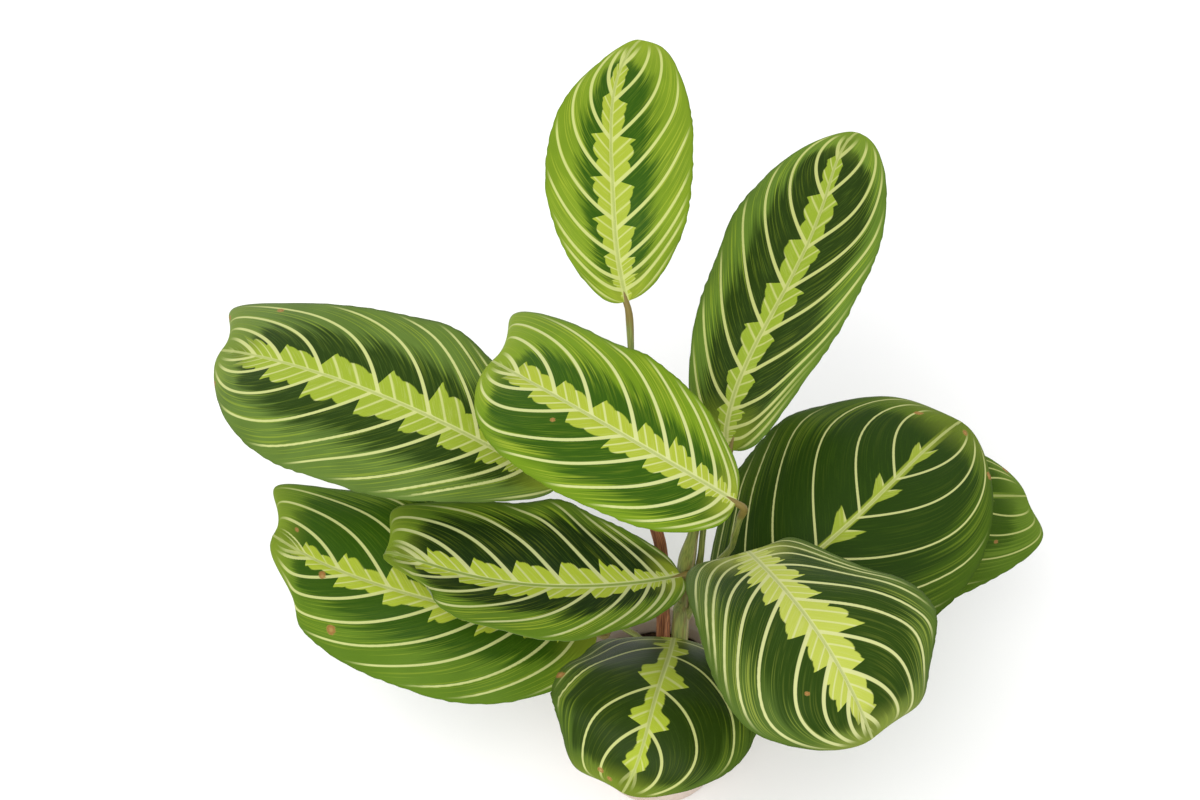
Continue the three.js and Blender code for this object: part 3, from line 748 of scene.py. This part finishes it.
# The right and the far right leaf have like markings and share these, which the next comment explains
BROAD_LEAF = dict(
    veins=((0.04, 0.10, 0.20, 0.36, 0.54, 0.70), (0.03, 0.08, 0.18, 0.33, 0.52, 0.70)),
    sweep=((0.40, 0.42, 3.2), (0.50, 0.35, 3.2)), teeth=(0.14, 0.13, 0.09, 1.0))

# Each blade's markings. veins: where the side veins of its left and right half leave the midrib. sweep: how
# fast they run on towards the tip in each half (a straight part, a bent part and the power of its bend).
# stray: where the midrib wanders, as a share of the half width, at the base, each quarter and the tip.
# teeth: how far the pale lobes reach at the base, the middle and the tip, and how bare of lobe their baseward
# side is (0 to 1; barer ones stand up along the veins). patch: how far out the dark patches run, left and
# right. streaks: how strong the light ones are. Then the colours of the dark patch, the green beyond it, the
# lobes and the veins. rib: how strong the green line along the midrib's crest is. scars: brown specks, each
# with its place along the midrib (0 to 1) and across the blade (-1 to 1), and its radius in mm.
LOOKS = {
    "leaf_top": dict(
        veins=((0.04, 0.08, 0.17, 0.30, 0.44, 0.60, 0.76), (0.04, 0.08, 0.14, 0.26, 0.42, 0.59, 0.74)),
        sweep=((0.25, 0.20, 2.6), (0.30, 0.25, 3.0)), stray=(0.04, 0.03, 0.0, -0.17, -0.42),
        teeth=(0.31, 0.27, 0.19, 0.0), patch=(0.50, 0.54), streaks=0.8,
        dark=(60, 98, 12), mid=(138, 168, 46), band=(182, 200, 66), vein=(222, 230, 142)),
    "leaf_rear_right": dict(
        veins=((0.03, 0.10, 0.19, 0.31, 0.43, 0.57, 0.73), (0.02, 0.045, 0.09, 0.18, 0.29, 0.42, 0.56, 0.74)),
        sweep=((0.25, 0.20, 2.4), (0.30, 0.30, 4.0)), stray=(-0.27, -0.11, 0.06, 0.02, -0.32),
        teeth=(0.24, 0.24, 0.14, 0.1), patch=(0.68, 0.74), streaks=0.9,
        dark=(50, 70, 26), mid=(112, 144, 54), band=(162, 186, 58), vein=(216, 222, 138)),
    "leaf_upper_left": dict(
        veins=((0.08, 0.115, 0.185, 0.285, 0.38, 0.51, 0.66, 0.79),
               (0.03, 0.07, 0.13, 0.21, 0.345, 0.49, 0.66, 0.79)),
        sweep=((0.22, 0.20, 2.6), (0.25, 0.25, 3.0)), stray=(0.04, 0.04, 0.04, 0.04, 0.04),
        teeth=(0.28, 0.29, 0.25, 0.0), patch=(0.60, 0.56), streaks=0.6,
        dark=(52, 74, 28), mid=(112, 140, 62), band=(170, 192, 62), vein=(226, 232, 152),
        scars=((0.963, 0.895, 0.7), (0.943, -0.99, 0.8), (0.848, 0.835, 0.8))),
    "leaf_centre": dict(
        veins=((0.01, 0.05, 0.105, 0.19, 0.31, 0.44, 0.62, 0.77),
               (0.03, 0.08, 0.16, 0.265, 0.39, 0.57, 0.72)),
        sweep=((0.35, 0.20, 2.6), (0.32, 0.28, 2.8)),
        teeth=(0.27, 0.26, 0.18, 0.0), patch=(0.8, 0.52), streaks=0.8,
        dark=(62, 98, 16), mid=(130, 164, 40), band=(184, 200, 66), vein=(228, 234, 160),
        scars=((0.66, -0.295, 0.7),)),
    "leaf_mid_left": dict(
        veins=((0.03, 0.06, 0.11, 0.18, 0.31, 0.455, 0.60, 0.74),
               (0.04, 0.08, 0.15, 0.26, 0.41, 0.57, 0.71, 0.84)),
        sweep=((0.30, 0.15, 2.6), (0.38, 0.20, 3.0)), stray=(0.02, 0.03, 0.02, 0.03, 0.12),
        teeth=(0.25, 0.27, 0.2, 0.0), patch=(0.6, 0.8), streaks=0.7,
        dark=(40, 58, 18), mid=(108, 140, 44), band=(184, 202, 64), vein=(218, 224, 154),
        rib=0.85),
    "leaf_low_left": dict(
        veins=((0.05, 0.10, 0.19, 0.29, 0.42, 0.57, 0.71, 0.84),
               (0.04, 0.09, 0.18, 0.30, 0.44, 0.58, 0.74, 0.87)),
        sweep=((0.40, 0.25, 2.6), (0.40, 0.2, 2.6)), stray=(-0.05, -0.05, -0.07, -0.09, -0.02),
        teeth=(0.2, 0.22, 0.14, 0.3), patch=(0.55, 0.9), streaks=0.35,
        dark=(62, 96, 18), mid=(108, 142, 42), band=(186, 204, 64), vein=(226, 232, 152),
        scars=((0.785, -0.16, 1.3), (0.693, -0.735, 1.6), (0.915, 0.3, 0.6))),
    "leaf_right": dict(
        **BROAD_LEAF, stray=(0.0, 0.0, 0.0, -0.03, -0.04), patch=(0.8, 0.78), streaks=0.25,
        dark=(50, 74, 14), mid=(80, 108, 32), band=(170, 188, 66), vein=(222, 226, 150),
        scars=((0.935, -0.48, 0.9), (0.97, 0.41, 0.8), (0.893, 0.96, 0.9))),
    "leaf_far_right": dict(
        **BROAD_LEAF, patch=(0.9, 0.7), streaks=0.4,
        dark=(70, 100, 22), mid=(98, 130, 40), band=(150, 178, 66), vein=(214, 220, 136),
        scars=((0.948, -0.915, 0.8), (0.81, 0.635, 0.6))),
    "leaf_front": dict(
        veins=((0.03, 0.17, 0.42, 0.67), (0.03, 0.10, 0.40, 0.64)),
        sweep=((0.40, 0.45, 2.6), (0.50, 0.50, 3.2)), stray=(0.0, 0.0, 0.0, -0.04, -0.09),
        teeth=(0.26, 0.21, 0.15, 0.55), patch=(0.85, 0.85), streaks=0.35,
        dark=(52, 72, 20), mid=(90, 116, 44), band=(184, 202, 62), vein=(220, 226, 144),
        scars=((0.425, 0.97, 1.4), (0.93, 0.5, 0.7), (0.958, 0.38, 0.6))),
    "leaf_front_right": dict(
        veins=((0.02, 0.05, 0.10, 0.19, 0.30, 0.48, 0.67), (0.02, 0.045, 0.09, 0.15, 0.25, 0.44, 0.60, 0.76)),
        sweep=((0.45, 0.35, 3.6), (0.55, 0.40, 3.4)),
        teeth=(0.31, 0.27, 0.17, 0.0), patch=(0.8, 0.7), streaks=0.5,
        dark=(54, 78, 24), mid=(96, 122, 50), band=(204, 216, 92), vein=(230, 234, 162),
        scars=((0.703, 0.385, 0.6),)),
}

# Beyond the listed veins, a few more hug the margins beside the stalk, and a few end at the tip
BASAL_VEINS = (-0.5, -0.28, -0.15, -0.07, -0.02)
TIP_VEINS = (0.88, 0.96, 1.04)

# Side veins near the stalk leave the midrib squarely and bend later: the two eases say how near
RUN_EASE = 0.25
BEND_EASE = 0.12
LATE_BEND = 2.0


def smoothly(values, t):
    """The quartic curve through five evenly spaced values, the first at t = 0 and the last at t = 1."""
    stations = np.arange(5)
    total = 0 * t
    for i, value in enumerate(values):
        others = stations[stations != i]
        total = total + value * np.prod([(4 * t - j) / (i - j) for j in others], axis=0)
    return total


def blade_surface(name, t, a):
    """The blade's upper face: t runs along the midrib and a from the left margin (-1) to the right one (1).
    A half reaches sideways by its fullness times the square root of sin(pi t), along an arc that folds up
    from the midrib and curls down; waves grow with a squared, and the margins are pushed on beside the
    tip and back beside the stalk."""
    shape = BLADES[name]
    place, along = midrib(name, t)
    side = unit(np.cross(along, [0, 0, 1]))
    normal = np.cross(side, along)
    roll = np.radians(shape["roll"][0] + (shape["roll"][1] - shape["roll"][0]) * t)[..., None]
    across = np.cos(roll) * side + np.sin(roll) * normal
    lift = np.cos(roll) * normal - np.sin(roll) * side

    right = a > 0
    full = np.where(right, smoothly(shape["halves"][1], t), smoothly(shape["halves"][0], t))
    half = full * np.sqrt(np.clip(np.sin(np.pi * t), 0, 1))
    reach = half + NECK_HALF_WIDTH + (TIP_HALF_WIDTH - NECK_HALF_WIDTH) * t
    out = np.abs(a)
    curl = np.radians(shape["curl"][0] + (shape["curl"][1] - shape["curl"][0]) * t)
    fold = math.radians(shape["fold"])
    arc, drop = np.sin(curl * out) / curl, (1 - np.cos(curl * out)) / curl
    sideways = arc * math.cos(fold) + drop * math.sin(fold)
    upwards = arc * math.sin(fold) - drop * math.cos(fold)
    turn = 2 * np.pi * (WAVE_COUNT * t + shape["phase"] + WAVE_OFFSET * right)
    wave = WAVE_HEIGHT * out**2 * np.sin(turn) * np.sin(np.pi * t)
    push = np.where(right, shape["push"][1], shape["push"][0])
    beside = push * np.sin(np.pi * t**END_POWER) - shape["lobe"] * np.sin(np.pi * (1 - t) ** END_POWER)
    return (place + across * (np.sign(a) * reach * sideways)[..., None]
            + lift * (reach * upwards + wave)[..., None] + along * (out**1.5 * beside)[..., None]), reach


def vein_number(name, t, a):
    """Which panel between two side veins a place is in, counted from the base, with the share of the way to
    the next vein. A vein that leaves the midrib at q runs where t = q + straight (1 - e^(-q / run ease)) |a|
    + bent |a|^(power + late bend e^(-q / bend ease))."""
    look = LOOKS[name]
    out = np.abs(a)[..., None]
    counts = []
    for veins, (straight, bent, power) in zip(look["veins"], look["sweep"]):
        q = np.array([*BASAL_VEINS, *veins, *TIP_VEINS])
        line = q + straight * (1 - np.exp(-q / RUN_EASE)) * out
        line = line + bent * out ** (power + LATE_BEND * np.exp(-q / BEND_EASE))
        below, above = line[..., :-1], line[..., 1:]
        counts.append(np.clip((t[..., None] - below) / (above - below), 0, 1).sum(-1))
    return np.where(a > 0, counts[1], counts[0])


def spacing(points, number, t, a):
    """The distance in mm between neighbouring side veins: 1 over the slope of their count on the surface,
    whose square is (G n_t^2 - 2 F n_t n_a + E n_a^2) / (E G - F^2)."""
    along, across = np.gradient(points, t, a, axis=(0, 1))
    n_t, n_a = np.gradient(number, t, a)
    e, f, g = (along**2).sum(-1), (along * across).sum(-1), (across**2).sum(-1)
    area = np.maximum(e * g - f**2, 1e-3)
    slope = (g * n_t**2 - 2 * f * n_t * n_a + e * n_a**2) / area
    return np.clip(1 / np.sqrt(np.maximum(slope, 1e-6)), 0, 30), unit(np.cross(across, along))


def blade(name, seed):
    """A closed blade: the upper face, quilted between the veins, grooved along the midrib and rippled towards
    a finely frayed margin; the under face one thickness below with its keel; and the rim between them."""
    even = np.linspace(0, 1, LEAF_ROWS + 1)
    rows = EVEN_ROWS * even + (1 - EVEN_ROWS) * (0.5 - 0.5 * np.cos(np.pi * even))
    spread = np.linspace(-1, 1, LEAF_COLUMNS + 1)
    columns = np.sign(spread) * np.abs(spread) ** COLUMN_POWER
    t, a = np.meshgrid(rows, columns, indexing="ij")
    stray = smoothly(LOOKS[name].get("stray", NO_STRAY), t)
    points, reach = blade_surface(name, t, stray + a * (1 - np.sign(a) * stray))
    number = vein_number(name, t, a)
    gap, normal = spacing(points, number, rows, columns)
    share = number % 1
    out = np.abs(a)
    off_rib = out * reach
    ends = np.sin(np.pi * t) ** 0.5
    quilt = QUILT_HEIGHT * (4 * share * (1 - share)) ** 0.7 * np.clip(gap / QUILT_GAP, 0, 1) * (1 - out**6)
    groove = -GROOVE_DEPTH * np.exp(-((off_rib / GROOVE_WIDTH) ** 2)) * ends
    ripple = RIPPLE_HEIGHT * out**3 * rough(t * 90, a * 3 + 9 * (a > 0), seed, RIPPLE_STEP) * ends
    relief = (quilt - QUILT_SINK) * np.clip(off_rib / RELIEF_START, 0, 1) * ends + groove + ripple
    upper = points + normal * relief[..., None]
    fray = FRAY_DEPTH * rough(t * 130, 7 * np.sign(a), seed + 1, FRAY_STEP) * (out > 0.999) * ends
    side = unit(np.gradient(points, columns, axis=1)) * np.sign(a)[..., None]
    upper = upper + side * fray[..., None]
    keel = KEEL_HEIGHT * (1 - t) * np.exp(-((off_rib / KEEL_WIDTH) ** 2))
    under = upper - normal * (BLADE_THICKNESS * (1 - 0.5 * out**8) + keel)[..., None]

    wide = LEAF_COLUMNS + 1
    count = t.size
    i, j = np.meshgrid(np.arange(LEAF_ROWS), np.arange(LEAF_COLUMNS), indexing="ij")
    corner = i * wide + j
    top = np.stack([corner, corner + 1, corner + wide + 1, corner + wide], -1).reshape(-1, 4)
    bottom = top[:, ::-1] + count
    across, along = np.arange(LEAF_COLUMNS), np.arange(LEAF_ROWS) * wide
    edge = np.concatenate([across, along + LEAF_COLUMNS, LEAF_ROWS * wide + across[::-1] + 1,
                           along[::-1] + wide])
    after = np.roll(edge, -1)
    rim = np.stack([after, edge, edge + count, after + count], -1)
    faces = np.concatenate([top, bottom, rim]).tolist()
    both = np.concatenate([upper.reshape(-1, 3), under.reshape(-1, 3)])
    below = np.repeat([0.0, 1.0], count)
    venation = np.stack([np.tile(number.ravel(), 2), np.tile(a.ravel(), 2), np.tile(gap.ravel(), 2)], -1)
    lie = np.stack([np.tile(t.ravel(), 2), below, np.tile(reach.ravel(), 2)], -1)
    return both, faces, {"venation": venation, "blade": lie}


def leaf_finish(name, seed):
    """A leaf's skin. Along each panel between two side veins the pale lobe reaches out from the midrib to
    a scalloped edge that ends in a tooth; beyond it lies the dark patch, which breaks up into light streaks
    towards the margin. Pale lines follow the side veins and the midrib, a few scars are ringed and brown,
    and the under face is a paler grey-green."""
    look = LOOKS[name]
    base, middle, tip, bare = look["teeth"]
    leaf = Finish("blade_" + name, Specular_IOR_Level=0.07)

    def tint(red, green, blue):
        parts = in_linear(red, green, blue)[:3]
        return (*(max(LEAF_ALBEDO * part - SHEEN, DARKEST) for part in parts), 1.0)

    dark, mid, band, vein = (tint(*look[key]) for key in ("dark", "mid", "band", "vein"))
    number, a, gap = leaf.attribute("venation")
    t, below, reach = leaf.attribute("blade")
    out = a.size()
    off_rib = out * reach
    half = a.rise(-0.01, 0.01)
    panel = number.whole()
    share = number.fraction()
    draw = leaf.node("ShaderNodeTexWhiteNoise", {"noise_dimensions": "3D"},
                     {"Vector": leaf.together(panel, half, float(seed))}, out="Value")
    streak = leaf.noise(leaf.together(number * 5, a * 2.5, float(seed)), 1.0, 2.0)
    threads = leaf.noise(leaf.together(number * 17, a * 1.8, float(seed)), 1.0, 1.0)
    fine = leaf.noise(leaf.together(number * 34, a * 5, float(seed)), 1.0, 2.0)
    drift = leaf.noise(leaf.place(), 60.0, 2.0)

    tooth = t.ramp([(0.0, base), (0.5, middle), (0.9, tip)]) * (0.84 + draw * 0.32)
    run = share + (out / tooth - 1) * TOOTH_LEAN * (1 - bare**4)
    bump = (run * 2.6 + draw).fraction() - 0.5
    scallop = (0.16 - bump * bump) * (0.4 + draw * 0.5)
    grown = 0.70 + run.rise(-0.1, 0.5) * 0.24 + run.rise(0.5, 0.62) ** 2 * 0.14 + scallop
    grown = grown * (1 - bare * run.rise(0.42 + 0.12 * bare, 0.1 + 0.2 * bare) * 0.85)
    cut = run.rise(*TOOTH_END)
    edge = tooth * (grown * (1 - cut) + cut * (0.26 + draw * 0.14) * (1 - bare * 0.6))
    edge = edge + (fine - 0.5) * EDGE_WAVER
    pale = out.rise(edge + EDGE_BLUR, edge - EDGE_BLUR) * t.rise(0.97, 0.85)

    patch_reach = look["patch"][0] + half * (look["patch"][1] - look["patch"][0])
    zone = out + (streak - 0.5) * 0.45 + (share - 0.5).size() * 0.12 + t.rise(0.84, 0.98) * 0.6
    zone = zone + (threads - 0.5) * 0.3
    patch = (zone - patch_reach).rise(PATCH_BLUR, -PATCH_BLUR)
    tone = leaf.mix(mid, dark, patch)
    tone = leaf.mix(tone, dark, drift.rise(0.35, 0.7) * 0.2)
    lit = threads.rise(0.55, 0.62) * out.rise(1.0, 0.85) * out.rise(0.2, 0.45)
    tone = leaf.mix(tone, band, lit * (1 - patch * 0.75) * look["streaks"] * 0.75)
    tone = leaf.mix(tone, mid, fine.rise(0.5, 0.72) * 0.25)
    tone = leaf.mix(tone, leaf.mix(mid, band, 0.45), t.rise(0.86, 0.99) * 0.7)
    tone = leaf.mix(tone, band, t.rise(0.14, 0.02) * (1 - bare) * out.rise(0.9, 0.5) * 0.7)

    minor = ((share * 3 + 0.5).fraction() - 0.5).size().rise(0.13, 0.03) * share.rise(0.08, 0.2)
    lobes = leaf.mix(band, vein, minor * 0.8 + fine.rise(0.5, 0.7) * 0.2)
    tone = leaf.mix(tone, lobes, pale)
    near = share.at_most(1 - share) * gap
    width = (VEIN_HALF_WIDTH - out * VEIN_THINNING) * (1 - 0.35 * bare)
    line = near.rise(width + VEIN_BLUR, width - VEIN_BLUR) * gap.rise(0.9, 2.2) * t.rise(0.985, 0.93)

    # The barer a leaf's teeth are, the fainter are the veins that end at its tip
    listed = [len(veins) + len(BASAL_VEINS) for veins in look["veins"]]
    last = half * (listed[1] - listed[0]) + listed[0]
    line = line * (1 - (number - last).rise(-0.5, -0.4) * bare)
    tone = leaf.mix(tone, band, off_rib.rise(1.7, 1.1) * t.rise(1.0, 0.8) * (bare * 0.8))
    tone = leaf.mix(tone, vein, line * out.rise(0.985, 0.88) * 0.95)
    tone = leaf.mix(tone, vein, off_rib.rise(1.15 - t * 0.6, 0.75 - t * 0.45) * 0.85)
    tone = leaf.mix(tone, tint(*RIB_GREEN), off_rib.rise(0.55, 0.25) * look.get("rib", RIB_STRENGTH))

    span = math.dist(MIDRIBS[name][0], MIDRIBS[name][2])
    for at, aside, wide in look.get("scars", ()):
        along, across = (t - at) * span, (a - aside) * reach
        away = (along * along + across * across) ** 0.5 + (fine - 0.5) * wide * 2
        heart = away.rise(wide + 0.1, wide - 0.1) * away.rise(0, wide)
        tone = leaf.mix(tone, tint(*SCAR_EDGE), away.rise(wide + SCAR_BLUR, wide) * 0.8)
        tone = leaf.mix(tone, tint(*SCAR_HEART), heart * 0.7)
    tone = leaf.mix(tone, tint(*UNDERSIDE), below * 0.8)
    leaf.shade("Base Color", tone)
    leaf.shade("Roughness", 0.38 + fine * 0.12)
    leaf.emboss(fine, 0.10)
    return leaf


for seed, name in enumerate(MIDRIBS):
    points, faces, attributes = blade(name, FIRST_SEED + SEED_STEP * seed)
    made = put_mesh(name.replace("leaf", "blade"), points, faces, leaf_finish(name, seed), attributes)
    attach(made, "root")
    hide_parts(name)

# The stage
# A plain pale floor, a large soft lamp above the camera's left shoulder and an even pale surround. The
# camera looks down at the plant as the photograph does, 52 degrees above the horizon.
CAMERA_TARGET = (-22.0, 71.0, 128.0)
CAMERA_DISTANCE = 750.0
CAMERA_ELEVATION = 52.0
CAMERA_LENS = 62.5
SENSOR_WIDTH = 36.0

# The floor and the lamp are sized and placed in metres
FLOOR_SIZE = 6.0
LAMP_PLACE = (-0.45, -0.75, 1.5)
LAMP_TARGET = (0, 0.06, 0.15)
LAMP_SIZE = 1.1
LAMP_WATTS = 16
PAPER_WHITE = (250, 250, 250)
PAPER_SHADE = (244, 244, 244)

bpy.ops.mesh.primitive_plane_add(size=FLOOR_SIZE, location=(0, 0, 0))
floor = bpy.context.object
floor.name = "studio_floor"
paper = Finish("studio_paper", Roughness=0.9, Specular_IOR_Level=0.1)
mottle = paper.noise(paper.place(), 3.0)
paper.shade("Base Color", paper.mix(in_linear(*PAPER_WHITE), in_linear(*PAPER_SHADE), mottle))
floor.data.materials.append(paper.material)

world = bpy.data.worlds.new("studio")
world.use_nodes = True
surround = world.node_tree.nodes["Background"]
surround.inputs["Color"].default_value = (1, 1, 1, 1)
surround.inputs["Strength"].default_value = 1.0
bpy.context.scene.world = world


def soft_lamp(name, place, target, size, watts):
    """A square area lamp that faces its target."""
    data = bpy.data.lights.new(name, "AREA")
    data.size = size
    data.energy = watts
    lamp = bpy.data.objects.new(name, data)
    direction = np.subtract(target, place)
    level = math.hypot(direction[0], direction[1])
    lamp.location = place
    lamp.rotation_euler = (math.atan2(level, -direction[2]), 0, math.atan2(-direction[0], direction[1]))
    bpy.context.scene.collection.objects.link(lamp)


soft_lamp("key_lamp", LAMP_PLACE, LAMP_TARGET, LAMP_SIZE, LAMP_WATTS)

target = np.array(CAMERA_TARGET)
tilt = math.radians(CAMERA_ELEVATION)
view_data = bpy.data.cameras.new("view")
view_data.lens = CAMERA_LENS
view_data.sensor_width = SENSOR_WIDTH
camera = bpy.data.objects.new("view", view_data)
camera.location = (target - CAMERA_DISTANCE * np.array([0, math.cos(tilt), -math.sin(tilt)])) * MM
camera.rotation_euler = (math.pi / 2 - tilt, 0, 0)
bpy.context.scene.collection.objects.link(camera)
bpy.context.scene.camera = camera
bpy.context.scene.view_settings.view_transform = "Standard"
